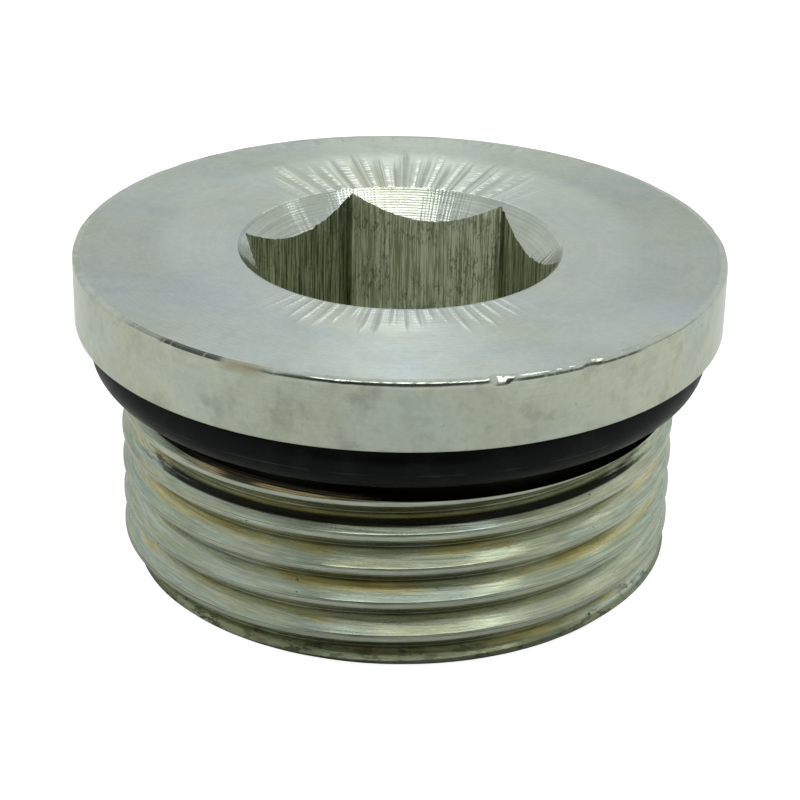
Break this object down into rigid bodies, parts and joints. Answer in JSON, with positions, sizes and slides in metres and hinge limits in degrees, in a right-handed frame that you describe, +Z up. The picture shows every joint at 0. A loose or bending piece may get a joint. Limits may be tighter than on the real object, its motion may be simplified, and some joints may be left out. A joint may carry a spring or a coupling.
{
  "type": "hex socket plug",
  "caption": "Straight-thread port plug: disc head with a hex socket, short externally threaded stud and an O-ring round the neck under the head.",
  "frame": {"origin": "centre of the stud's flat end face, on which the plug stands", "axes": "+Z up the axis from the end face to the head, +X through one corner of the hex socket"},
  "size_m": [0.0381, 0.038, 0.0191],
  "materials": {
    "plated_steel": "turned steel, zinc plated, pale with an olive tint where light bounces between surfaces",
    "seal_rubber": "moulded black nitrile, slightly oily sheen"
  },
  "bodies": {
    "root": {"plug_body": "plated_steel", "o_ring": "seal_rubber"}
  },
  "joints": []
}
